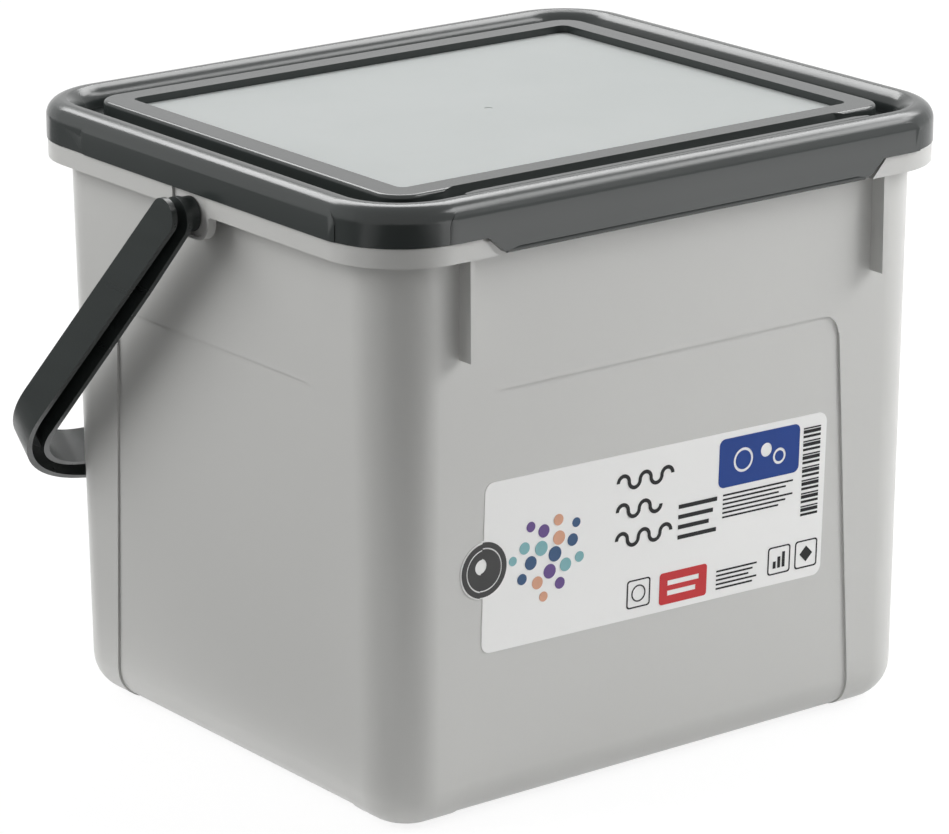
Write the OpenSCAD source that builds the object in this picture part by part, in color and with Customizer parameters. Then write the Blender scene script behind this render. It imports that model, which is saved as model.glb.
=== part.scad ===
// Laundry powder container: a drafted tub with a rolled rim, a lift-off lid with a
// grip tab, a carrying bail that turns in two ears under the rim, and a front sticker.
// Millimetres, +Z up, origin at the middle of the standing face, label towards -Y.

/* [Tub] */
// Length of the tub at its foot, along X
tub_len = 188.6; // [150:0.2:240]
// Depth of the tub at its foot, along Y
tub_dep = 160.6; // [120:0.2:220]
// Radius of the vertical corners at the foot
corner_r = 15.2; // [14:0.2:30]
// Lean of every wall, in degrees
draft = 0.8; // [0:0.1:2]
// Radius of the edge round the foot
foot_r = 12; // [4:0.5:13]
// Thickness of the walls
wall_t = 2; // [1.6:0.1:3]
// Thickness of the floor
floor_t = 2.2; // [1.6:0.1:4]
// Height of the shoulder that carries the rim
shoulder_z = 168.8; // [140:0.2:220]

/* [Tub rim] */
// How far the outer band stands out from the upper wall
band_out = 6.6; // [6:0.1:9]
// Height of the outer band
band_h = 5.4; // [4.5:0.1:8]
// Thickness of the shoulder and of the outer band
band_t = 1.8; // [1.4:0.1:2.5]
// Height of the upright lip above the shoulder
lip_h = 9.6; // [8:0.1:14]
// Thickness of the upright lip
lip_t = 1.8; // [1.4:0.1:2.4]
// Bevel of the lip's outer top edge
lip_bevel = 1.5; // [1.4:0.1:1.6]
// How far the lip's inner face stands outside the upper wall
lip_set = 1.75; // [0.4:0.05:1.8]
// How far the bead round the lip stands out
bead_out = 0.5; // [0.2:0.1:0.8]
// Height of the bead above the shoulder
bead_rise = 5.3; // [3:0.1:6]

/* [Pressed panels] */
// Height of the top edge of the panels
panel_top = 123.5; // [90:0.5:135]
// Depth of the panels
panel_depth = 0.7; // [0.3:0.1:1]
// Radius of the upper panel corners
panel_r = 6; // [3:0.5:12]
// Width of the front and rear panels at the foot
panel_front_w = 140.6; // [110:0.2:150]
// Width of the two side panels at the foot
panel_side_w = 114.4; // [90:0.2:124]
// Narrowing of the panels for each millimetre of height
panel_taper = 0.13; // [0:0.01:0.2]

/* [Front notch and ribs] */
// Sideways place of the gap, the ribs and the pull tab
front_x = 1.1; // [-2:0.1:2]
// Width of the gap in the band, at its lower edge
notch_w = 132.6; // [90:0.2:140]
// Widening of each side of the gap over the height of the band
notch_slant = 5.1; // [1:0.1:6]
// Distance between the middles of the two ribs
rib_gap = 146.4; // [100:0.2:150]
// Thickness of a rib
rib_t = 1.7; // [1.2:0.1:3]
// How far a rib stands out from the wall
rib_out = 5.3; // [3:0.1:5.6]
// Length of a rib below the band
rib_len = 29; // [10:0.5:50]

/* [Ears] */
// Width of the ear that hangs below the band
ear_w = 18.4; // [15.5:0.2:24]
// Lowest point of the ear below the band
ear_drop = 7.6; // [7:0.1:12]
// Radius of the ear's lower corners
ear_r = 5.7; // [3:0.1:7.5]
// Radius between the ear's sides and the band
ear_fillet = 1.2; // [0.4:0.1:2.5]
// Width of the raised lip round the ear
ear_lip = 0.9; // [0.6:0.1:1.5]
// Depth of the ear's dished face
ear_dish = 0.8; // [0.4:0.1:1.2]
// Height of the pivot below the shoulder
pivot_drop = 6.2; // [6:0.1:8]
// Diameter of the bail's pivot pins
pin_d = 6; // [4:0.1:7]
// Radial clearance of a pin in its ear
pin_clear = 0.08; // [0.04:0.01:0.1]
// How far the pin's head stands out round the pin
head_out = 0.8; // [0.4:0.1:1.2]
// Length of the pin's head
head_l = 1.6; // [1:0.1:2.5]

/* [Lid] */
// Thickness of the lid
lid_t = 1.6; // [1.2:0.1:2]
// Gap between the shoulder and the lid's skirt
skirt_gap = 0.2; // [0.1:0.1:1]
// How far the skirt stands out past the band
skirt_out = 0.3; // [0:0.1:1]
// Radius of the lid's outer top edge
roll_r = 4.8; // [3:0.1:6]
// Radius of the rim's inner top edge
rim_edge_r = 1.5; // [0.3:0.1:1.6]
// Clearance between the lid's plug wall and the upright lip
plug_clear = 0.3; // [0.2:0.1:0.8]
// Depth of the channel round the plateau, below the rim
channel_d = 6; // [5:0.1:7.7]
// Width of the channel
channel_w = 9.4; // [6:0.1:12]
// How far the plateau lies below the rim
plateau_drop = 0.8; // [0:0.1:3]
// Radius of the plateau's upper edge
plateau_edge_r = 1.2; // [0.4:0.1:1.5]
// Width of the frame round the recess
frame_w = 8; // [6:0.1:14]
// Thickness of the wide land at the front of the rim
land_t = 3.2; // [2:0.1:4]
// How far that land reaches in from the rim
land_w = 1; // [0.5:0.1:3]
// Depth of the recess, to the top of its inset panel
recess_d = 2.2; // [0.5:0.1:2.6]
// Radius of the recess corners
recess_r = 2.5; // [1:0.1:7]

/* [Lid grip] */
// How far the grip pads stand out from the skirt
pad_out = 0.5; // [0.2:0.1:1]
// Height of the pads' upper edge below the top of the lid
pad_drop = 2.5; // [2:0.1:4]
// Height of the pads' sloping top
pad_slope = 2.1; // [1:0.1:3]
// Radius of the pads' upper end corners
pad_r = 4; // [1:0.1:6]
// Length over which the pads' ends slope down to the skirt
pad_run = 2.5; // [0.5:0.1:4]
// Length of the front and rear pads
pad_front_len = 166; // [140:1:172]
// Sideways place of the front and rear pads
pad_front_x = 2; // [-3:0.5:3]
// Length of the side pads
pad_side_len = 122.6; // [80:0.2:126]
// How far the middle of the side pads lies towards the front
pad_side_fore = 7.3; // [0:0.1:8]
// How far the pull tab hangs below the skirt
tab_drop = 3.7; // [1:0.1:5]
// Width of the pull tab at its lower edge
tab_w = 130.8; // [80:0.2:134]
// Slant of each end of the pull tab
tab_slant = 4.3; // [1:0.1:6]
// How far the tab's two corners dip below its lower edge
tab_tip = 1; // [0.2:0.1:1.5]
// Length of each dipping corner
tab_tip_len = 4.5; // [2:0.1:8]
// Height of the bead under the pull tab
tab_bead_h = 1.8; // [1:0.1:3]
// Length of the bead under the pull tab
tab_bead_len = 126.5; // [70:0.5:127]
// How far the bead is let into the tab
tab_bead_in = 0.15; // [0.05:0.05:0.4]
// Set-back of the plateau's front between the grip corners
front_set = 1.2; // [0.4:0.1:2]
// Length of that set-back
front_set_len = 134; // [80:1:140]
// Lean of that set-back's wall, in degrees
front_lean = 10; // [0:1:12]
// Length of the slanted run at each end of it
front_run = 4; // [1:0.5:6]

/* [Inset panel] */
// Thickness of the inset panel
inset_t = 1.2; // [0.8:0.1:2]
// Clearance round the inset panel
inset_clear = 0.15; // [0.1:0.05:0.4]
// Diameter of the moulding mark in its middle
gate_d = 2.4; // [1:0.1:4]
// Depth of that mark
gate_depth = 0.25; // [0.1:0.05:0.4]

/* [Bail] */
// Gap between the bail's hubs and the dished faces of the ears
hub_gap = 0.3; // [0.2:0.1:0.6]
// Diameter of the hubs between the ears and the bail's inner plate
hub_d = 10; // [9:0.1:11]
// Diameter of the inner plate's round ends
eye_d = 11.8; // [10.8:0.1:12.4]
// How far those ends sit below the pivot, across the strap
eye_low = 0.5; // [0:0.1:0.8]
// How far the outer plate's round ends lie beyond the pivot
end_set = 1.3; // [0:0.1:3]
// Distance from the pivot to the end of the web between the plates
web_set = 1.5; // [0:0.1:4]
// How far the hanging crossbar stays behind the tub's rear foot edge
bar_gap = 9.3; // [6:0.1:30]
// Width of the bail's strap
strap_w = 10.3; // [8:0.1:10.8]
// How far the bail's inner plate reaches past the strap's lower edge
inner_reach = 1.9; // [0.5:0.1:2.2]
// How far it reaches past that edge at the crossbar
bar_reach = 1; // [0.5:0.1:2.2]
// Distance from the pivot over which the inner plate grows wider
flare_len = 30; // [10:0.5:40]
// Thickness of the bail over both plates at the top of the arms
bail_t_top = 6.4; // [4.6:0.1:8]
// Thickness of the bail over both plates beside the bends
bail_t = 7.6; // [5:0.1:10]
// Thickness of the bail over both plates at the crossbar
bar_t = 15; // [8:0.1:16]
// Gap between the arm and the band
arm_gap = 3.2; // [2.4:0.1:6]
// Thickness of the bail's plates and web
plate_t = 1.7; // [1.2:0.1:2.2]
// Outer radius of the bail's bends
bend_r = 49; // [36:0.2:60]
// Inner radius of the bail's bends
bend_in_r = 28.5; // [14:0.1:34]
// Angle at which the bail hangs, below the horizontal
hang_angle = 45; // [30:1:50]

/* [Sticker] */
// Width of the sticker
sticker_w = 122.8; // [60:0.2:126]
// Height of the sticker
sticker_h = 49; // [30:0.5:70]
// Corner radius of the sticker
sticker_r = 3; // [1:0.1:8]
// Thickness of the sticker
sticker_t = 0.2; // [0.1:0.05:0.3]
// Thickness of the printed fields
print_t = 0.1; // [0.05:0.05:0.2]
// Height of the sticker's middle
sticker_z = 71.7; // [50:0.1:90]
// Sideways place of the sticker's middle
sticker_x = -2.6; // [-4:0.1:4]
// Tilt of the sticker, in degrees
sticker_tilt = 1.25; // [0:0.05:2]
// Diameter of the round badge on the sticker's left end
badge_d = 16.6; // [10:0.2:24]

/* [Sticker print] */
// Width of the blue field
field_w = 29.8; // [20:0.2:32]
// Height of the blue field
field_h = 14.4; // [8:0.2:15]
// Distance of its middle from the sticker's right end
field_in = 25; // [24:0.2:28]
// Distance of its middle below the sticker's top edge
field_down = 9.1; // [8.4:0.1:10]
// Width of the red field
chip_w = 17.2; // [10:0.2:20]
// Height of the red field
chip_h = 9.4; // [6:0.2:11]
// Distance of its middle from the sticker's right end
chip_in = 51.6; // [50:0.2:54]
// Distance of its middle above the sticker's lower edge
chip_up = 6.6; // [6:0.1:8]
// Thickness of the bars left out of the red field
chip_bar_h = 1.5; // [1:0.1:2]
// Distance of the dotted spiral's middle from the sticker's left end
dots_in = 22.6; // [22.2:0.2:23]
// Number of dots in the spiral
dots_n = 18; // [4:1:18]
// Growth of the spiral, which sets how far apart the dots lie
dot_step = 3; // [2.9:0.05:3.1]
// Turn from one dot to the next, in degrees
dot_turn = 137.5; // [137:0.1:138]
// Diameter of the first dot
dot_d = 4.4; // [3:0.1:4.6]
// Loss of diameter from one dot to the next
dot_less = 0.1; // [0.1:0.01:0.15]
// Distance of the waves' left end from the sticker's right end
wave_in = 74.4; // [73:0.2:75]
// Distance of the first wave below the sticker's top edge
wave_down = 8.3; // [6:0.1:9]
// Distance from one wave to the next
wave_step = 8.4; // [7:0.1:9]
// Outer radius of the waves' arcs
wave_r = 2.5; // [2:0.1:2.8]
// Thickness of the waves' stroke
wave_w = 1.1; // [0.6:0.1:1.4]
// Thickness of a thin printed line
row_h = 0.5; // [0.3:0.05:0.7]
// Distance from one thin line to the next
row_step = 1.3; // [1.1:0.05:1.4]
// Width of the thin lines under the blue field
text_w = 26; // [20:0.2:28]
// Distance of the uppermost of them below the sticker's top edge
text_down = 18.8; // [18:0.1:20]
// Width of the thin lines at the lower edge
note_w = 15; // [10:0.2:18]
// Distance of their left ends from the sticker's right end
note_in = 39.4; // [38:0.2:40]
// Distance of the uppermost of them above the sticker's lower edge
note_up = 7.8; // [7:0.1:9]
// Width of the bold lines beside the waves
bold_w = 14; // [8:0.2:14]
// Thickness of a bold line
bold_h = 1.2; // [0.8:0.1:1.6]
// Distance from one bold line to the next
bold_step = 3; // [2.4:0.1:3.4]
// Distance of their left ends from the sticker's right end
bold_in = 54.2; // [53:0.2:55]
// Distance of the uppermost of them below the sticker's top edge
bold_down = 19.6; // [18:0.1:21]
// Width of the bars at the sticker's right end
code_w = 6.4; // [4:0.1:7]
// Distance of those bars from the sticker's right end
code_in = 2.2; // [1:0.1:2.4]
// Distance of the uppermost of them below the sticker's top edge
code_down = 4.1; // [3:0.1:5]
// Side of the outlined boxes
icon_w = 8.4; // [6:0.1:9]
// Corner radius of the outlined boxes
icon_r = 1; // [0.6:0.1:2]
// Distance of the boxes' middles above the sticker's lower edge
icon_up = 7.2; // [6:0.1:8]
// Distance of the left box's middle from the sticker's right end
icon_far = 67.8; // [67:0.2:69]
// Distance of the middle box's middle from the sticker's right end
icon_mid = 16; // [15:0.2:17]
// Distance of the right box's middle from the sticker's right end
icon_near = 5.8; // [5.2:0.1:6]
// Thickness of outlines
line_w = 0.4; // [0.3:0.05:0.6]

/* [Hidden] */
$fn = 96;
eps = 0.01;
big = 400;

// Centres of the corner arcs, shared by the tub and the lid
cx = tub_len / 2 - corner_r;
cy = tub_dep / 2 - corner_r;
lean = tan(draft);
// Radii are measured from those centres
upper_wall_r = corner_r + shoulder_z * lean;
band_r = upper_wall_r + band_out;
band_z = shoulder_z - band_h;
skirt_r = band_r + skirt_out;
skirt_z = shoulder_z + skirt_gap;
lip_top = shoulder_z + lip_h;
lip_in_r = upper_wall_r + lip_set;
lip_out_r = lip_in_r + lip_t;
bead_z = shoulder_z + bead_rise;
lid_top = lip_top + lid_t;
plug_r = lip_in_r - plug_clear;
rim_in_r = plug_r - lid_t;
channel_z = lid_top - channel_d;
plateau_r = rim_in_r - channel_w;
plateau_z = lid_top - plateau_drop;
recess_hx = cx + plateau_r - frame_w;
recess_hy = cy + plateau_r - frame_w;
inset_top = plateau_z - recess_d;
pocket_z = inset_top - inset_t;
roof_z = pocket_z - lid_t;
pad_z = lid_top - pad_drop;
front_y = -(cy + skirt_r);

// Bail, measured from its pivot axis
pivot_z = shoulder_z - pivot_drop;
dish_x = cx + band_r - ear_dish;
ear_in_x = dish_x - band_t;
hub_x = dish_x + hub_gap;
arm_in = cx + band_r + arm_gap;
bail_half = arm_in + bail_t_top;
bar_low = strap_w / 2 + bar_reach;
bar_u = (tub_dep / 2 + bar_gap) / cos(hang_angle) + bar_low * tan(hang_angle);
bend_u = bar_u + bar_t - bend_r;

// Sticker, in the plane of the front panel
panel_tilt = atan(lean);
right = sticker_w / 2;
top = sticker_h / 2;
function panel_half(width, z) = width / 2 - panel_taper / 2 * z;

// Flat outline of a rounded rectangle
module rounded(hx, hy, r) {
    square([2 * (hx - r), 2 * hy], center = true);
    square([2 * hx, 2 * (hy - r)], center = true);
    for (sx = [-1, 1], sy = [-1, 1])
        translate([sx * (hx - r), sy * (hy - r)]) circle(r);
}

// Upright rounded slab between two heights
module slab(hx, hy, r, z0, z1) {
    translate([0, 0, z0]) linear_extrude(z1 - z0) rounded(hx, hy, r);
}

// Carries an outline, drawn as radius and height, round the rounded rectangle
module around() {
    for (mx = [0, 1], my = [0, 1])
        mirror([mx, 0, 0]) mirror([0, my, 0])
            translate([cx, cy, 0]) rotate_extrude(angle = 90) children();
    for (mx = [0, 1])
        mirror([mx, 0, 0]) translate([cx, cy, 0]) rotate([90, 0, 0])
            linear_extrude(2 * cy) children();
    for (my = [0, 1])
        mirror([0, my, 0]) translate([-cx, cy, 0]) rotate([90, 0, 90])
            linear_extrude(2 * cx) children();
}

// Section of a drafted pot: straight floor, round foot, leaning wall
module pot_section(r, z0, foot, z1) {
    rc = r + foot * lean - foot / cos(draft);
    polygon([
        [0, z0], [rc, z0], [rc, z0 + foot],
        [rc + foot * cos(draft), z0 + foot - foot * sin(draft)],
        [r + (z1 - z0) * lean, z1], [0, z1]
    ]);
    intersection() {
        translate([rc, z0 + foot]) circle(foot);
        translate([0, z0]) square([r + foot, foot]);
    }
}

// Solid pot, pulled in on all sides by inset
module pot(inset, z0, foot, z1) {
    around() pot_section(corner_r - inset + z0 * lean, z0, foot, z1);
    translate([-cx, -cy, z0]) cube([2 * cx, 2 * cy, z1 - z0]);
}

// Outline of a pressed panel, wider at the foot, with round upper corners
module panel_outline(width) {
    half = panel_half(width, panel_top);
    low = panel_half(width, 0);
    polygon([
        [-low, -eps], [low, -eps],
        [panel_half(width, panel_top - panel_r), panel_top - panel_r],
        [half - panel_r, panel_top], [panel_r - half, panel_top],
        [-panel_half(width, panel_top - panel_r), panel_top - panel_r]
    ]);
    for (s = [-1, 1])
        translate([s * (half - panel_r), panel_top - panel_r]) circle(panel_r);
}

// The four panel outlines, each carried out through its own wall
module panel_prisms() {
    for (my = [0, 1])
        mirror([0, my, 0]) translate([0, -cy, 0]) rotate([90, 0, 0])
            linear_extrude(big) panel_outline(panel_front_w);
    for (mx = [0, 1])
        mirror([mx, 0, 0]) translate([cx, 0, 0]) rotate([90, 0, 90])
            linear_extrude(big) panel_outline(panel_side_w);
}

// Shoulder, upright lip with its bead, and the band that hangs outside
module rim_section() {
    translate([upper_wall_r - wall_t, shoulder_z - band_t])
        square([band_r - upper_wall_r + wall_t, band_t]);
    translate([lip_in_r, shoulder_z - eps])
        polygon([[0, 0], [lip_t, 0], [lip_t, lip_h + eps - lip_bevel],
            [lip_t - lip_bevel, lip_h + eps], [0, lip_h + eps]]);
    translate([lip_out_r, bead_z]) circle(bead_out);
    translate([band_r - band_t, band_z]) square([band_t, band_h]);
}

// Outline of the ear, pulled in by inset: its sides hang from the band, its bottom is round
module ear_outline(inset) {
    half = ear_w / 2 - inset;
    r = ear_r - inset;
    low = band_z - ear_drop + inset;
    translate([-half, low + r]) square([2 * half, shoulder_z - low - r]);
    translate([r - half, low]) square([2 * (half - r), r + eps]);
    for (s = [-1, 1])
        translate([s * (half - r), low + r]) circle(r);
}

// Rounds between the ear's sides and the band's lower edge
module ear_corners() {
    for (mx = [0, 1])
        mirror([mx, 0]) translate([ear_w / 2, band_z - ear_fillet]) difference() {
            translate([-eps, 0]) square(ear_fillet + eps);
            translate([ear_fillet, 0]) circle(ear_fillet);
        }
}

// Ear plate on the +X side
module ear() {
    translate([ear_in_x, 0, 0]) rotate([90, 0, 90]) linear_extrude(band_r + cx - ear_in_x) {
        ear_outline(0);
        ear_corners();
    }
}

// Dish and pin hole in the ear on the +X side
module ear_cuts() {
    translate([dish_x, 0, 0]) rotate([90, 0, 90])
        linear_extrude(band_t + ear_dish) {
            ear_outline(ear_lip);
            translate([-ear_w / 2 + ear_lip, shoulder_z - eps])
                square([ear_w - 2 * ear_lip, 1]);
        }
    translate([ear_in_x - band_t, 0, pivot_z]) rotate([0, 90, 0])
        cylinder(d = pin_d + 2 * pin_clear, h = 4 * band_t);
}

// Thin upright rib under each end of the front gap
module ribs() {
    wall_y = cy + corner_r + (band_z - rib_len) * lean;
    for (s = [-1, 1])
        translate([front_x + s * rib_gap / 2 - rib_t / 2, -wall_y - rib_out, band_z - rib_len])
            cube([rib_t, rib_out + wall_t / 2, rib_len + band_h - band_t / 2]);
}

// Gap in the front of the band, with slanted ends
module front_notch() {
    low = notch_w / 2;
    high = low + notch_slant;
    translate([front_x, -(cy + lip_out_r + bead_out), 0]) rotate([90, 0, 0])
        linear_extrude(big)
            polygon([[-low, band_z - 1], [low, band_z - 1], [low, band_z],
                [high, shoulder_z + eps], [-high, shoulder_z + eps], [-low, band_z]]);
}

module tub() {
    color([0.70, 0.70, 0.68]) difference() {
        union() {
            difference() {
                pot(0, 0, foot_r, shoulder_z);
                panel_prisms();
            }
            pot(panel_depth, 0, foot_r, shoulder_z);
            difference() {
                around() rim_section();
                front_notch();
            }
            ribs();
            for (mx = [0, 1]) mirror([mx, 0, 0]) ear();
        }
        pot(wall_t / cos(draft), floor_t, foot_r - wall_t, shoulder_z + 1);
        for (mx = [0, 1]) mirror([mx, 0, 0]) ear_cuts();
    }
}

// Rolled rim of the lid: skirt, round outer edge, land, plug wall
module roll_section() {
    edge_r = rim_edge_r;
    difference() {
        union() {
            translate([rim_in_r, channel_z - lid_t])
                square([plug_r - rim_in_r, lid_top - edge_r - channel_z + lid_t]);
            translate([rim_in_r, skirt_z + roll_r])
                square([skirt_r - roll_r - rim_in_r, lid_top - edge_r - skirt_z - roll_r]);
            translate([rim_in_r + edge_r, lid_top - roll_r])
                square([skirt_r - roll_r - rim_in_r - edge_r, roll_r]);
            translate([rim_in_r + edge_r, lid_top - edge_r]) circle(edge_r);
            translate([skirt_r - roll_r, lid_top - roll_r]) circle(roll_r);
            translate([skirt_r - roll_r, skirt_z]) square([roll_r, lid_top - roll_r - skirt_z]);
        }
        inner_r = roll_r - lid_t;
        translate([plug_r, skirt_z - 1])
            square([skirt_r - lid_t - plug_r, lid_top - roll_r - skirt_z + 1]);
        translate([plug_r, lid_top - roll_r - eps])
            square([skirt_r - roll_r - plug_r, roll_r - lid_t + eps]);
        translate([skirt_r - roll_r, lid_top - roll_r]) circle(inner_r);
    }
}

// Raised plateau with a rounded upper edge
module plateau() {
    r = plateau_r;
    e = plateau_edge_r;
    slab(cx + r, cy + r, r, channel_z - lid_t, plateau_z - e);
    slab(cx + r - e, cy + r - e, r - e, channel_z - lid_t, plateau_z);
    around() translate([r - e, plateau_z - e]) circle(e);
}

// Long flat outline along X from y0 on, depth wide, with slanted ends
module front_strip(y0, depth) {
    half = front_set_len / 2;
    far = half + front_run;
    polygon([[-far, y0 - 1], [far, y0 - 1], [far, y0],
        [half, y0 + depth], [-half, y0 + depth], [-far, y0]]);
}

// Wider land on the front of the rim, between the grip corners
module front_land() {
    translate([0, 0, lid_top - land_t]) linear_extrude(land_t)
        front_strip(-(cy + rim_in_r), land_w);
}

// Wedge that sets the plateau's front back between the grip corners, its wall leaning back
module front_wedge() {
    near = -(cy + plateau_r);
    far = near + front_set;
    foot = far - (plateau_z - channel_z) * tan(front_lean);
    intersection() {
        translate([0, 0, channel_z]) linear_extrude(channel_d + 1)
            front_strip(near, front_set);
        translate([-big / 2, 0, 0]) rotate([90, 0, 90]) linear_extrude(big)
            polygon([[near - 1, channel_z], [foot, channel_z], [far, plateau_z],
                [far, lid_top + 1], [near - 1, lid_top + 1]]);
    }
}

// Section of a grip pad on the skirt, outwards and up, with its sloping top
module pad_section() {
    edge = roll_r - sqrt(pow(roll_r, 2) - pow(roll_r - pad_drop, 2));
    root = edge + lid_t / 4;
    polygon([[-root, skirt_z], [pad_out, skirt_z], [pad_out, pad_z - pad_slope],
        [-edge, pad_z], [-root, pad_z]]);
}

// Grip pad on the side that faces -Y, its middle at x, its upper end corners round
module pad(len, x, y) {
    far = len / 2;
    translate([x, y, 0]) intersection() {
        translate([0, 0, skirt_z]) linear_extrude(lid_top - skirt_z)
            polygon([[-far, roll_r], [-far, 0], [2 * pad_run - far, -2 * pad_out],
                [far - 2 * pad_run, -2 * pad_out], [far, 0], [far, roll_r]]);
        translate([-len / 2, 0, 0]) rotate([90, 0, 90]) mirror([1, 0, 0])
            linear_extrude(len) pad_section();
        translate([0, roll_r, 0]) rotate([90, 0, 0]) linear_extrude(2 * roll_r) {
            translate([-len / 2, skirt_z]) square([len, pad_z - pad_r - skirt_z]);
            translate([pad_r - len / 2, skirt_z]) square([len - 2 * pad_r, pad_z - skirt_z]);
            for (s = [-1, 1])
                translate([s * (len / 2 - pad_r), pad_z - pad_r]) circle(pad_r);
        }
    }
}

// Pull tab that hangs in the front gap, with a bead along its lower edge
module pull_tab() {
    low = tab_w / 2;
    high = low + tab_slant;
    tip = low - tab_tip;
    edge_z = skirt_z - tab_drop;
    bead_r = tab_bead_h / 2;
    translate([front_x, front_y, 0]) {
        for (mx = [0, 1])
            mirror([mx, 0, 0]) translate([0, lid_t, 0]) rotate([90, 0, 0])
                linear_extrude(lid_t + pad_out)
                    polygon([[0, edge_z], [tip - tab_tip_len, edge_z], [tip, edge_z - tab_tip],
                        [high, skirt_z], [high, skirt_z + 1], [0, skirt_z + 1]]);
        translate([-tab_bead_len / 2, bead_r - pad_out / 2, edge_z - bead_r + tab_bead_in])
            rotate([0, 90, 0]) cylinder(r = bead_r, h = tab_bead_len);
    }
}

module lid() {
    r = plateau_r - lid_t;
    color([0.24, 0.26, 0.25]) difference() {
        union() {
            around() roll_section();
            slab(cx + rim_in_r + lid_t / 2, cy + rim_in_r + lid_t / 2,
                rim_in_r + lid_t / 2, channel_z - lid_t, channel_z);
            plateau();
            front_land();
            for (my = [0, 1])
                mirror([0, my, 0]) pad(pad_front_len, pad_front_x, front_y);
            for (mx = [0, 1])
                mirror([mx, 0, 0]) rotate([0, 0, 90])
                    pad(pad_side_len, -pad_side_fore, -(cx + skirt_r));
            pull_tab();
        }
        front_wedge();
        slab(cx + r, cy + r, r, channel_z - lid_t - 1, roof_z);
        difference() {
            slab(cx + r, cy + r, r, roof_z - eps, plateau_z - lid_t);
            slab(recess_hx + lid_t, recess_hy + lid_t, recess_r + lid_t, roof_z - 1, plateau_z);
            translate([-big / 2, -(cy + plateau_r), roof_z - 1])
                cube([big, lid_t + front_set, channel_d]);
        }
        slab(recess_hx, recess_hy, recess_r, pocket_z, lid_top + 1);
    }
}

module lid_panel() {
    c = inset_clear;
    color([0.77, 0.79, 0.78]) difference() {
        slab(recess_hx - c, recess_hy - c, recess_r - c, pocket_z, inset_top);
        translate([0, 0, inset_top - gate_depth]) cylinder(d = gate_d, h = inset_t);
    }
}

// U outline of the bail, across X and away from the pivot, pulled in by inset
module bail_outline(inset) {
    half = bail_half - inset;
    r = bend_r - inset;
    translate([-half, -strap_w]) square([2 * half, strap_w + bend_u]);
    translate([-half + r, -strap_w]) square([2 * (half - r), strap_w + bend_u + r]);
    for (s = [-1, 1])
        translate([s * (bail_half - bend_r), bend_u]) circle(r);
}

// Space inside the U, grown by grow
module bail_void(grow) {
    top = arm_in + grow;
    mid = bail_half - bail_t + grow;
    r = bend_in_r + grow;
    bend = bar_u - bend_in_r;
    polygon([[-top, -2 * strap_w], [top, -2 * strap_w], [top, 0], [mid, bend], [-mid, bend],
        [-top, 0]]);
    translate([r - mid, 0]) square([2 * (mid - r), bend + r]);
    for (s = [-1, 1])
        translate([s * (mid - r), bend]) circle(r);
}

// Carries an outline, drawn along the arm and across the strap, right through along X
module across() {
    translate([-big / 2, 0, 0]) rotate([90, 0, 90]) linear_extrude(big) children();
}

// Outer plate of the bail, round beyond the pivots
module bail_outer_plate() {
    half = strap_w / 2;
    intersection() {
        translate([0, 0, -half]) linear_extrude(strap_w) difference() {
            bail_outline(0);
            bail_outline(plate_t);
        }
        across() {
            translate([-end_set, 0]) circle(half);
            translate([-end_set, -half]) square([big, strap_w]);
        }
    }
}

// Web along the upper edges of both plates, the groove between them open downwards
module bail_web() {
    translate([0, 0, strap_w / 2 - plate_t]) linear_extrude(plate_t) difference() {
        bail_outline(plate_t / 2);
        bail_void(plate_t / 2);
        translate([-big / 2, web_set - big]) square(big);
    }
}

// Inner plate of the bail, wider than the strap, round at the pivots
module bail_inner_plate() {
    half = strap_w / 2;
    low = half + inner_reach;
    intersection() {
        translate([0, 0, -low]) linear_extrude(low + eye_d / 2) difference() {
            bail_void(plate_t);
            bail_void(0);
        }
        across() {
            translate([0, -eye_low]) circle(d = eye_d);
            polygon([[0, -eye_low - eye_d / 2], [flare_len, -low], [bar_u - bend_in_r, -low],
                [bar_u, -bar_low], [big, -bar_low], [big, half], [0, half]]);
        }
    }
}

// Bail lying flat along +Y, with its two hubs and headed pins
module bail_flat() {
    head_x = ear_in_x - hub_gap - head_l;
    bail_outer_plate();
    bail_web();
    bail_inner_plate();
    for (mx = [0, 1])
        mirror([mx, 0, 0]) rotate([0, 90, 0]) {
            translate([0, 0, hub_x]) cylinder(d = hub_d, h = arm_in + plate_t / 2 - hub_x);
            translate([0, 0, head_x]) {
                cylinder(d = pin_d, h = hub_x + plate_t / 2 - head_x);
                cylinder(d = pin_d + 2 * head_out, h = head_l);
            }
        }
}

module handle() {
    color([0.22, 0.25, 0.24])
        translate([0, 0, pivot_z]) rotate([-hang_angle, 0, 0]) bail_flat();
}

// Puts an outline, drawn from the sticker's middle, in the front panel's plane
module on_sticker() {
    translate([sticker_x, sticker_z]) rotate(-sticker_tilt) children();
}

// Sticker with the round badge over its left end
module sticker_outline() {
    on_sticker() {
        rounded(right, top, sticker_r);
        translate([-right, 0]) circle(d = badge_d);
    }
}

// Part of the front wall's plane that lies on the panel, from its left edge on
module panel_side() {
    polygon([[-panel_half(panel_front_w, 0), 0], [big, 0], [big, panel_top],
        [-panel_half(panel_front_w, panel_top), panel_top]]);
}

// Raises a flat outline from the panel's surface, lift above it
module on_front(lift, thick) {
    translate([0, -(cy + corner_r) + panel_depth, 0]) rotate([90 + panel_tilt, 0, 0])
        translate([0, 0, lift]) linear_extrude(thick) children();
}

// Lays an outline on the panel and, past the panel's left edge, up its step
module laid(lift, thick) {
    step = panel_depth * cos(panel_tilt);
    on_front(lift, thick) intersection() {
        children();
        translate([lift, 0]) panel_side();
    }
    on_front(lift + step, thick) difference() {
        children();
        translate([lift + thick, 0]) panel_side();
    }
    on_front(lift, step + thick) intersection() {
        children();
        difference() {
            translate([lift, 0]) panel_side();
            translate([lift + thick, 0]) panel_side();
        }
    }
}

module label() {
    color([0.95, 0.95, 0.94]) laid(0, sticker_t) sticker_outline();
}

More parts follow.
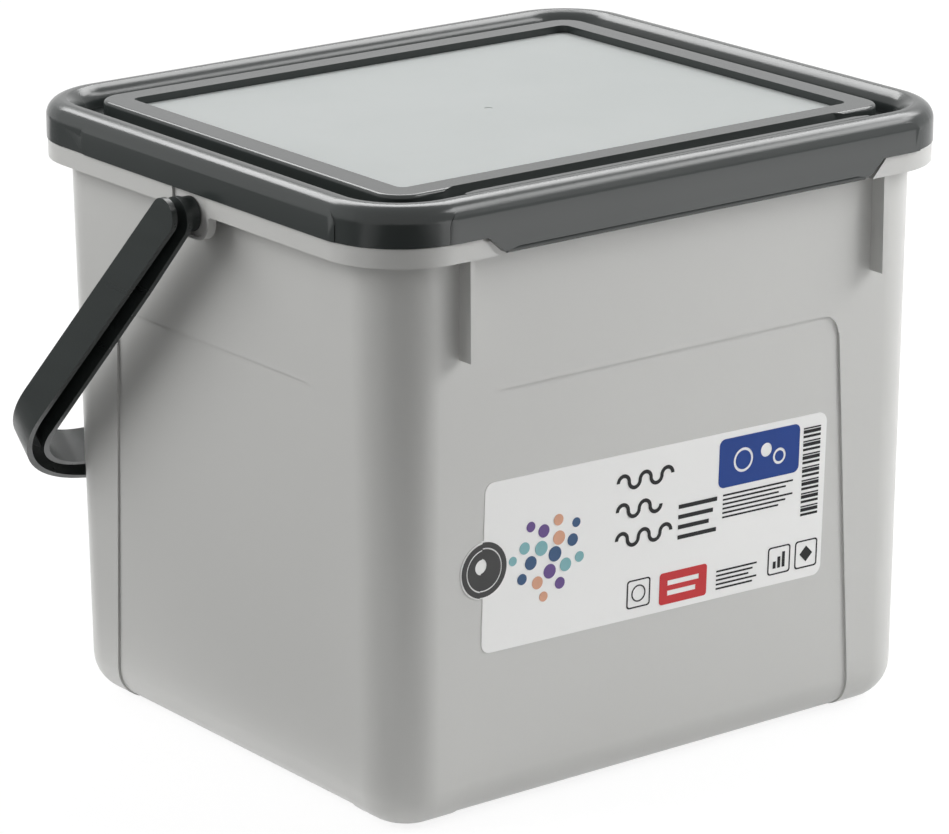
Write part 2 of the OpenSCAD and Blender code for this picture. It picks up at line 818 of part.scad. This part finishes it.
// Prints an outline, drawn from the sticker's middle, on the sticker
module printed(tone) {
    color(tone) on_front(sticker_t, print_t) on_sticker() children();
}

// Rows of flat bars of falling length, their left ends at x, the uppermost row at y
module rows(x, y, w, h, step, n) {
    for (i = [0 : n - 1])
        translate([x, y - step * i]) square([w * (1 - 0.1 * (i % 3)), h]);
}

// Ring of a given outer radius and line thickness
module ring(r, w) {
    difference() {
        circle(r);
        circle(r - w);
    }
}

// Outlined square box with rounded corners, at a distance from the sticker's right end
module box(in) {
    translate([right - in, icon_up - top]) {
        difference() {
            rounded(icon_w / 2, icon_w / 2, icon_r);
            rounded(icon_w / 2 - line_w, icon_w / 2 - line_w, icon_r - line_w / 2);
        }
        children();
    }
}

// Wavy stroke of half rings that turn up and down by turns
module wave(x, y, n) {
    for (i = [0 : n - 1])
        translate([x + i * (2 * wave_r - wave_w), y]) intersection() {
            ring(wave_r, wave_w);
            translate([-wave_r, i % 2 == 0 ? 0 : -wave_r]) square([2 * wave_r, wave_r]);
        }
}

// Every fourth dot of the spiral, from a given one on
module dots(first) {
    translate([dots_in - right, 0])
        for (i = [first : 4 : dots_n - 1])
            rotate(dot_turn * i) translate([dot_step * sqrt(i + 1 / 2), 0])
                circle(d = dot_d - dot_less * i);
}

// Round badge: dark disc with a thin ring and a small disc left out
module label_badge() {
    r = badge_d / 2 - line_w;
    color([0.27, 0.27, 0.27]) laid(sticker_t, print_t) on_sticker()
        translate([-right, 0]) difference() {
            circle(r);
            ring(r * 0.8, line_w);
            translate([-r * 0.15, r * 0.15]) circle(r * 0.28);
        }
}

// Large blue field with two rings and a disc left out
module label_blue() {
    printed([0.13, 0.27, 0.6]) translate([right - field_in, top - field_down]) difference() {
        rounded(field_w / 2, field_h / 2, 2 * icon_r);
        translate([-field_w / 5, 0]) ring(field_h / 4, 2 * line_w);
        translate([field_w / 12, field_h / 10]) circle(field_h / 7);
        translate([field_w / 4, -field_h / 12]) ring(field_h / 6, 2 * line_w);
    }
}

// Small red field with two bars left out
module label_red() {
    printed([0.78, 0.17, 0.2]) translate([right - chip_in, chip_up - top]) difference() {
        rounded(chip_w / 2, chip_h / 2, icon_r);
        rows(-chip_w / 3, chip_bar_h / 2, chip_w * 2 / 3, chip_bar_h, 2 * chip_bar_h, 2);
    }
}

// Black lines: waves, plain bars for lines of print, a bar code pattern, outlined boxes
module label_black() {
    code_n = 21;
    printed([0.1, 0.1, 0.1]) {
        for (i = [0 : 2])
            wave(right - wave_in, top - wave_down - wave_step * i, 5 - i % 2);
        rows(right - bold_in, top - bold_down, bold_w, bold_h, bold_step, 4);
        rows(right - field_in - text_w / 2, top - text_down, text_w, row_h, row_step, 6);
        rows(right - note_in, note_up - top, note_w, row_h, row_step, 5);
        for (i = [0 : code_n - 1])
            translate([right - code_in - code_w, top - code_down - row_step * i])
                square([code_w, row_h * (0.8 + 0.6 * ((i * 5) % 3))]);
        box(icon_far) ring(icon_w * 0.3, line_w);
        box(icon_mid)
            for (i = [-1 : 1])
                translate([icon_w * (0.2 * i - 0.06), -icon_w * 0.28])
                    square([icon_w * 0.12, icon_w * (0.4 + 0.15 * i)]);
        box(icon_near) rotate(45) square(icon_w * 0.4, center = true);
    }
}

// Spiral of dots in four tones that take turns
module label_denim() {
    printed([0.22, 0.34, 0.5]) dots(0);
}

module label_teal() {
    printed([0.5, 0.7, 0.72]) dots(1);
}

module label_violet() {
    printed([0.42, 0.32, 0.55]) dots(2);
}

module label_peach() {
    printed([0.85, 0.65, 0.55]) dots(3);
}

tub();
lid();
lid_panel();
handle();
label();
label_badge();
label_blue();
label_red();
label_black();
label_denim();
label_teal();
label_violet();
label_peach();
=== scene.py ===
import math

import bpy
from mathutils import Matrix, Vector


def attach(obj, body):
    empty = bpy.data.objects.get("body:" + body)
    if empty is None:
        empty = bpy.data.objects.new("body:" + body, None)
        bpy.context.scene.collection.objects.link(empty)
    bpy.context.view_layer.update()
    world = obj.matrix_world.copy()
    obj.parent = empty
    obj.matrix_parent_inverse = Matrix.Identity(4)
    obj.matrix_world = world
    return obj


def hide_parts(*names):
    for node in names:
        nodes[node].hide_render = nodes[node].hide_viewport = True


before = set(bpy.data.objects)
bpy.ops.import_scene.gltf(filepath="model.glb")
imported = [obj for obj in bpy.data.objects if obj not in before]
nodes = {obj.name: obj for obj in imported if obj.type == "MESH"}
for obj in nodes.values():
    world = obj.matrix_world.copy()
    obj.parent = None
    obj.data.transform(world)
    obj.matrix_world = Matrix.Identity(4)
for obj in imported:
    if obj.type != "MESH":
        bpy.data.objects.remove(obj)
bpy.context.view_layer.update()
bpy.ops.object.select_all(action="DESELECT")


# Camera
# The photograph's own view: a long lens a good metre away, at the front left corner of
# the container and 17 degrees above level.
AZIMUTH = math.radians(37.269)
ELEVATION = math.radians(17.270)
ROLL = math.radians(-0.195)
DISTANCE = 1.35767
FOCAL_PX = 4658.56
IMAGE_W = 949
SIDE_SHIFT_PX = 5.43
SENSOR_MM = 36
FARTHEST = 20
AIM_RIGHT = -0.002764
AIM_UP = -0.005258
AIM_HEIGHT = 0.090

back = Vector((
    -math.sin(AZIMUTH) * math.cos(ELEVATION),
    -math.cos(AZIMUTH) * math.cos(ELEVATION),
    math.sin(ELEVATION),
))
right = Vector((math.cos(AZIMUTH), -math.sin(AZIMUTH), 0))
up = back.cross(right)
aim = right * AIM_RIGHT + up * AIM_UP + Vector((0, 0, AIM_HEIGHT))
eye = aim + back * DISTANCE
view_right = right * math.cos(ROLL) + up * math.sin(ROLL)
view_up = up * math.cos(ROLL) - right * math.sin(ROLL)

camera_data = bpy.data.cameras.new("camera")
camera_data.sensor_width = SENSOR_MM
camera_data.lens = FOCAL_PX * SENSOR_MM / IMAGE_W
camera_data.shift_x = -SIDE_SHIFT_PX / IMAGE_W
camera_data.clip_end = FARTHEST
camera = bpy.data.objects.new("camera", camera_data)
bpy.context.scene.collection.objects.link(camera)
turn = Matrix((view_right, view_up, back)).transposed().to_4x4()
camera.matrix_world = Matrix.Translation(eye) @ turn
bpy.context.scene.camera = camera
bpy.context.scene.view_settings.view_transform = "Standard"


# Studio
# A pale floor under a white surround, with soft lamps at the right of the front, at the
# left and at the back. Two more lamps are there for the gloss alone, and cloths and cards
# on the floor set what the walls and the gloss have before them.
WHITE = (1, 1, 1, 1)
SURROUND = 0.28
FLOOR_HALF = 6
FLOOR_COLOUR = (0.86, 0.86, 0.86, 1)
FLOOR_ROUGH = 0.9
FLOOR_GLOW = 0.78
FLOOR_GLOW_STRENGTH = 1.1
LAMP_DISTANCE = 1.6
SHEET_LIFT = 0.001
CLOTH_NEAR = 0.3
CLOTH_FAR = 1.6
CLOTH_HALF = 0.38


def seen_directly(tree):
    """Output that is 1 for camera, glossy and transmission rays, and 0 for the light on things."""
    path = tree.nodes.new("ShaderNodeLightPath")
    first = tree.nodes.new("ShaderNodeMath")
    first.operation = "MAXIMUM"
    tree.links.new(path.outputs["Is Camera Ray"], first.inputs[0])
    tree.links.new(path.outputs["Is Glossy Ray"], first.inputs[1])
    both = tree.nodes.new("ShaderNodeMath")
    both.operation = "MAXIMUM"
    tree.links.new(first.outputs[0], both.inputs[0])
    tree.links.new(path.outputs["Is Transmission Ray"], both.inputs[1])
    return both.outputs[0]


def mixed(tree, share, first, second, target):
    """Mixes two shaders by a share and leads the result to the target's surface."""
    mix = tree.nodes.new("ShaderNodeMixShader")
    tree.links.new(share, mix.inputs["Fac"])
    tree.links.new(first.outputs[0], mix.inputs[1])
    tree.links.new(second.outputs[0], mix.inputs[2])
    tree.links.new(mix.outputs[0], tree.nodes[target].inputs["Surface"])


def shining(tree, kind, strength):
    """White shader of a kind that gives off light."""
    light = tree.nodes.new(kind)
    light.inputs["Color"].default_value = WHITE
    light.inputs["Strength"].default_value = strength
    return light


world = bpy.data.worlds.new("studio")
bpy.context.scene.world = world
world.use_nodes = True
tree = world.node_tree
ambient = shining(tree, "ShaderNodeBackground", SURROUND)
backdrop = shining(tree, "ShaderNodeBackground", 1)
mixed(tree, seen_directly(tree), ambient, backdrop, "World Output")

bpy.ops.mesh.primitive_plane_add(size=2 * FLOOR_HALF, location=(0, 0, 0))
floor = bpy.context.object
floor.name = "floor"
paint = bpy.data.materials.new("floor_paint")
paint.use_nodes = True
tree = paint.node_tree
matt = tree.nodes["Principled BSDF"]
matt.inputs["Base Color"].default_value = FLOOR_COLOUR
matt.inputs["Roughness"].default_value = FLOOR_ROUGH
matt.inputs["Specular IOR Level"].default_value = 0
glow = shining(tree, "ShaderNodeEmission", FLOOR_GLOW_STRENGTH)
share = tree.nodes.new("ShaderNodeMath")
share.operation = "MULTIPLY"
share.inputs[1].default_value = FLOOR_GLOW
tree.links.new(seen_directly(tree), share.inputs[0])
mixed(tree, share.outputs[0], matt, glow, "Material Output")
floor.data.materials.append(paint)


def soft_lamp(name, azimuth, elevation, width, height, power):
    """A rectangular lamp aimed at the container; azimuth 0 is its front, positive to the right."""
    a, e = math.radians(azimuth), math.radians(elevation)
    away = Vector((math.sin(a) * math.cos(e), -math.cos(a) * math.cos(e), math.sin(e)))
    data = bpy.data.lights.new(name, "AREA")
    data.shape = "RECTANGLE"
    data.size = width
    data.size_y = height
    data.energy = power
    lamp = bpy.data.objects.new(name, data)
    lamp.location = aim + away * LAMP_DISTANCE
    lamp.rotation_euler = away.to_track_quat("Z", "Y").to_euler()
    bpy.context.scene.collection.objects.link(lamp)
    return lamp


key_lamp = soft_lamp("key_lamp", azimuth=60, elevation=28, width=1.0, height=0.9, power=20)
back_lamp = soft_lamp("back_lamp", azimuth=140, elevation=47, width=2.4, height=0.22, power=10)
side_lamp = soft_lamp("side_lamp", azimuth=-128, elevation=26, width=1.4, height=1.1, power=22)
for lamp in (key_lamp, back_lamp, side_lamp):
    lamp.visible_glossy = False
shine_lamp = soft_lamp("shine_lamp", azimuth=56, elevation=44, width=1.0, height=0.4, power=9)
edge_lamp = soft_lamp("edge_lamp", azimuth=140, elevation=52, width=2.6, height=0.7, power=40)
for lamp in (shine_lamp, edge_lamp):
    lamp.visible_diffuse = False


def one_sided(material, shader):
    """Makes a stage material clear from behind, so that the floor under a sheet stays lit."""
    tree = material.node_tree
    side = tree.nodes.new("ShaderNodeNewGeometry")
    clear = tree.nodes.new("ShaderNodeBsdfTransparent")
    mixed(tree, side.outputs["Backfacing"], shader, clear, "Material Output")


def felt(name, shade):
    """Matt cloth of one grey."""
    material = bpy.data.materials.new(name)
    material.use_nodes = True
    shader = material.node_tree.nodes["Principled BSDF"]
    shader.inputs["Base Color"].default_value = (shade, shade, shade, 1)
    shader.inputs["Roughness"].default_value = 1
    one_sided(material, shader)
    return material


def lit_card(name, strength):
    """Card that shines evenly."""
    material = bpy.data.materials.new(name)
    material.use_nodes = True
    one_sided(material, shining(material.node_tree, "ShaderNodeEmission", strength))
    return material


def floor_sheet(name, near, far, material):
    """A sheet just above the floor, between two corners, that only other surfaces see."""
    bpy.ops.mesh.primitive_plane_add(size=1, location=(0, 0, 0))
    sheet = bpy.context.object
    sheet.name = name
    sheet.scale = (far[0] - near[0], far[1] - near[1], 1)
    sheet.location = ((near[0] + far[0]) / 2, (near[1] + far[1]) / 2, SHEET_LIFT)
    sheet.visible_camera = False
    sheet.visible_shadow = False
    sheet.data.materials.append(material)
    return sheet


# The dark cloth lies in line with the camera
front_cloth = floor_sheet(
    "front_cloth", (-CLOTH_HALF, -CLOTH_FAR), (CLOTH_HALF, -CLOTH_NEAR), felt("dark_felt", 0.01))
to_camera = Matrix.Rotation(-AZIMUTH, 4, "Z")
front_cloth.location = to_camera @ front_cloth.location
front_cloth.rotation_euler = (0, 0, -AZIMUTH)
floor_sheet("left_cloth", (-1.7, -0.1), (-0.11, 1.7), felt("grey_felt", 0.14))
far_card = floor_sheet("far_card", (0.1, -1.9), (1.9, -0.45), lit_card("far_card_light", 2.7))
far_card.visible_diffuse = False
near_card = floor_sheet(
    "near_card", (-0.05, -0.3), (0.25, -0.11), lit_card("near_card_light", 1.4))
near_card.visible_diffuse = False


# Tub
# The pale grey tub is one polypropylene moulding with 2 mm walls, a rim that stands out
# and two ears for the bail. Its skin is smooth satin, and every edge is slightly round.
TUB_COLOUR = (0.55, 0.55, 0.535)
TUB_EDGE = 0.00045
PATCH_DETAIL = 4
PATCH_ROUGH = 0.6
PATCH_LOW = 0.3
PATCH_HIGH = 0.7
GRAIN_DETAIL = 2
GRAIN_DEPTH = 0.0001
SAME_PLACE = 0.000002
FLAT_ANGLE = math.radians(0.05)
EDGE_ANGLE = math.radians(32)
SMOOTH_ANGLE = math.radians(50)


def group_input(group, kind, name, value):
    """Named input of a node group, with the value that it has where nothing else is set."""
    socket = group.interface.new_socket(name, in_out="INPUT", socket_type=kind)
    socket.default_value = value


# Moulded skin: slow patches of colour and gloss, and a fine grain
skin = bpy.data.node_groups.new("moulded_skin", "ShaderNodeTree")
group_input(skin, "NodeSocketColor", "Shade A", (0.5, 0.5, 0.5, 1))
group_input(skin, "NodeSocketColor", "Shade B", (0.45, 0.45, 0.45, 1))
group_input(skin, "NodeSocketFloat", "Patch Scale", 20)
group_input(skin, "NodeSocketVector", "Patch Turn", (0, 0, 0))
group_input(skin, "NodeSocketVector", "Patch Stretch", (1, 1, 1))
group_input(skin, "NodeSocketFloat", "Grain Scale", 2500)
group_input(skin, "NodeSocketFloat", "Rough Low", 0.3)
group_input(skin, "NodeSocketFloat", "Rough High", 0.4)
skin.interface.new_socket("Color", in_out="OUTPUT", socket_type="NodeSocketColor")
skin.interface.new_socket("Roughness", in_out="OUTPUT", socket_type="NodeSocketFloat")
skin.interface.new_socket("Height", in_out="OUTPUT", socket_type="NodeSocketFloat")
given = skin.nodes.new("NodeGroupInput")
result = skin.nodes.new("NodeGroupOutput")
place = skin.nodes.new("ShaderNodeTexCoord")
lie = skin.nodes.new("ShaderNodeMapping")
patches = skin.nodes.new("ShaderNodeTexNoise")
patches.inputs["Detail"].default_value = PATCH_DETAIL
patches.inputs["Roughness"].default_value = PATCH_ROUGH
grain = skin.nodes.new("ShaderNodeTexNoise")
grain.inputs["Detail"].default_value = GRAIN_DETAIL
shades = skin.nodes.new("ShaderNodeMix")
shades.data_type = "RGBA"
gloss = skin.nodes.new("ShaderNodeMapRange")
gloss.interpolation_type = "SMOOTHSTEP"
gloss.inputs["From Min"].default_value = PATCH_LOW
gloss.inputs["From Max"].default_value = PATCH_HIGH
skin.links.new(place.outputs["Object"], lie.inputs["Vector"])
skin.links.new(given.outputs["Patch Turn"], lie.inputs["Rotation"])
skin.links.new(given.outputs["Patch Stretch"], lie.inputs["Scale"])
skin.links.new(lie.outputs["Vector"], patches.inputs["Vector"])
skin.links.new(place.outputs["Object"], grain.inputs["Vector"])
skin.links.new(given.outputs["Patch Scale"], patches.inputs["Scale"])
skin.links.new(given.outputs["Grain Scale"], grain.inputs["Scale"])
skin.links.new(patches.outputs["Fac"], shades.inputs["Factor"])
skin.links.new(given.outputs["Shade A"], shades.inputs["A"])
skin.links.new(given.outputs["Shade B"], shades.inputs["B"])
skin.links.new(patches.outputs["Fac"], gloss.inputs["Value"])
skin.links.new(given.outputs["Rough Low"], gloss.inputs["To Min"])
skin.links.new(given.outputs["Rough High"], gloss.inputs["To Max"])
skin.links.new(shades.outputs["Result"], result.inputs["Color"])
skin.links.new(gloss.outputs["Result"], result.inputs["Roughness"])
skin.links.new(grain.outputs["Fac"], result.inputs["Height"])


def moulded(name, colour, spread, patch_scale, grain_scale, rough, bump, specular):
    """Plastic with the moulded skin: spread is how far its shades lie apart, bump the grain's depth."""
    material = bpy.data.materials.new(name)
    material.use_nodes = True
    tree = material.node_tree
    shader = tree.nodes["Principled BSDF"]
    shader.inputs["Specular IOR Level"].default_value = specular
    surface = tree.nodes.new("ShaderNodeGroup")
    surface.name = "skin"
    surface.node_tree = skin
    surface.inputs["Shade A"].default_value = (*[c * (1 - spread) for c in colour], 1)
    surface.inputs["Shade B"].default_value = (*[c * (1 + spread) for c in colour], 1)
    surface.inputs["Patch Scale"].default_value = patch_scale
    surface.inputs["Grain Scale"].default_value = grain_scale
    surface.inputs["Rough Low"].default_value = rough[0]
    surface.inputs["Rough High"].default_value = rough[1]
    relief = tree.nodes.new("ShaderNodeBump")
    relief.inputs["Strength"].default_value = bump
    relief.inputs["Distance"].default_value = GRAIN_DEPTH
    tree.links.new(surface.outputs["Color"], shader.inputs["Base Color"])
    tree.links.new(surface.outputs["Roughness"], shader.inputs["Roughness"])
    tree.links.new(surface.outputs["Height"], relief.inputs["Height"])
    tree.links.new(relief.outputs["Normal"], shader.inputs["Normal"])
    return material


def rounded_copy(node, edge, steps, material):
    """Copy of a CAD node with its faces joined, its sharp edges rounded and its material set."""
    piece = nodes[node].copy()
    piece.data = nodes[node].data.copy()
    piece.name = node + "_skin"
    bpy.context.scene.collection.objects.link(piece)
    bpy.ops.object.select_all(action="DESELECT")
    piece.select_set(True)
    bpy.context.view_layer.objects.active = piece
    bpy.ops.object.mode_set(mode="EDIT")
    bpy.ops.mesh.select_all(action="SELECT")
    bpy.ops.mesh.remove_doubles(threshold=SAME_PLACE)
    bpy.ops.mesh.dissolve_limited(angle_limit=FLAT_ANGLE)
    bpy.ops.object.mode_set(mode="OBJECT")
    bevel = piece.modifiers.new("edges", "BEVEL")
    bevel.width = edge
    bevel.segments = steps
    bevel.limit_method = "ANGLE"
    bevel.angle_limit = EDGE_ANGLE
    bpy.ops.object.modifier_apply(modifier=bevel.name)
    bpy.ops.object.shade_smooth_by_angle(angle=SMOOTH_ANGLE)
    even = piece.modifiers.new("even_shading", "WEIGHTED_NORMAL")
    even.keep_sharp = True
    bpy.ops.object.modifier_apply(modifier=even.name)
    piece.data.materials.clear()
    piece.data.materials.append(material)
    piece.select_set(False)
    return piece


tub_plastic = moulded(
    "tub_plastic", TUB_COLOUR, spread=0.02, patch_scale=9, grain_scale=3200,
    rough=(0.30, 0.40), bump=0.12, specular=0.5)
tub = rounded_copy("tub", TUB_EDGE, 2, tub_plastic)
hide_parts("tub")
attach(tub, "tub")


# Lid
# The dark lid is one glossy moulding: a rolled rim with a channel and a raised plateau
# inside it, grip pads on its sides and a pull tab with a bead over the front gap.
LID_COLOUR = (0.032, 0.037, 0.036)
LID_EDGE = 0.00035
lid_plastic = moulded(
    "lid_plastic", LID_COLOUR, spread=0.06, patch_scale=12, grain_scale=3600,
    rough=(0.17, 0.24), bump=0.10, specular=0.42)
lid = rounded_copy("lid", LID_EDGE, 2, lid_plastic)
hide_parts("lid")
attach(lid, "lid")


# Inset panel
# The panel in the lid's recess is a flat matt plate with a fine grain, let in flush with a thin gap all
# round. Its pale grey is a painted reflection: the lamps mirrored in the lid's glossy dark plastic,
# painted into the panel's colour. The small moulding mark lies in its middle.
PANEL_PAINTED_REFLECTION_COLOUR = (0.355, 0.375, 0.37)
PANEL_EDGE = 0.00015
panel_painted_reflection = moulded(
    "panel_painted_reflection", PANEL_PAINTED_REFLECTION_COLOUR, spread=0.03, patch_scale=14, grain_scale=2400,
    rough=(0.5, 0.62), bump=0.3, specular=0.3)
lid_panel = rounded_copy("lid_panel", PANEL_EDGE, 2, panel_painted_reflection)
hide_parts("lid_panel")
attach(lid_panel, "lid")


# Bail
# The carrying bail is one dark moulding of U section: an outer plate, an inner plate and
# a web. It turns on two headed pins that snap into the ears of the tub.
BAIL_COLOUR = (0.026, 0.031, 0.030)
BAIL_EDGE = 0.0005
FLOW_TURN = math.radians(45)
FLOW_STRETCH = 0.12
bail_plastic = moulded(
    "bail_plastic", BAIL_COLOUR, spread=0.11, patch_scale=130, grain_scale=3000,
    rough=(0.27, 0.36), bump=0.25, specular=0.45)
flow = bail_plastic.node_tree.nodes["skin"]
flow.inputs["Patch Turn"].default_value = (FLOW_TURN, 0, 0)
flow.inputs["Patch Stretch"].default_value = (1, FLOW_STRETCH, 1)
bail = rounded_copy("handle", BAIL_EDGE, 3, bail_plastic)
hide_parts("handle")
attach(bail, "handle")


# Sticker
# The sticker is white coated film with a round dark badge over its left end. Its print is
# a generic design: plain fields, bars, waves and dots.
FILM_COLOUR = (0.86, 0.86, 0.85)
PRINT_COLOURS = {
    "label_badge": (0.055, 0.055, 0.055),
    "label_blue": (0.006, 0.045, 0.25),
    "label_red": (0.55, 0.03, 0.035),
    "label_black": (0.012, 0.012, 0.013),
    "label_denim": (0.045, 0.10, 0.21),
    "label_teal": (0.22, 0.45, 0.48),
    "label_violet": (0.14, 0.08, 0.26),
    "label_peach": (0.68, 0.36, 0.24),
}
FILM_WAVE_SCALE = 70
FILM_WAVE = 0.9
FILM_ROUGH = (0.28, 0.36)


def dressed(node, material):
    """Gives a CAD node, kept as it is, its material."""
    nodes[node].data.materials.clear()
    nodes[node].data.materials.append(material)


film = moulded(
    "sticker_film", FILM_COLOUR, spread=0.012, patch_scale=30, grain_scale=FILM_WAVE_SCALE,
    rough=FILM_ROUGH, bump=FILM_WAVE, specular=0.3)
dressed("label", film)
for node, colour in PRINT_COLOURS.items():
    ink = moulded(
        node + "_ink", colour, spread=0.08, patch_scale=160, grain_scale=FILM_WAVE_SCALE,
        rough=FILM_ROUGH, bump=FILM_WAVE, specular=0.2)
    dressed(node, ink)
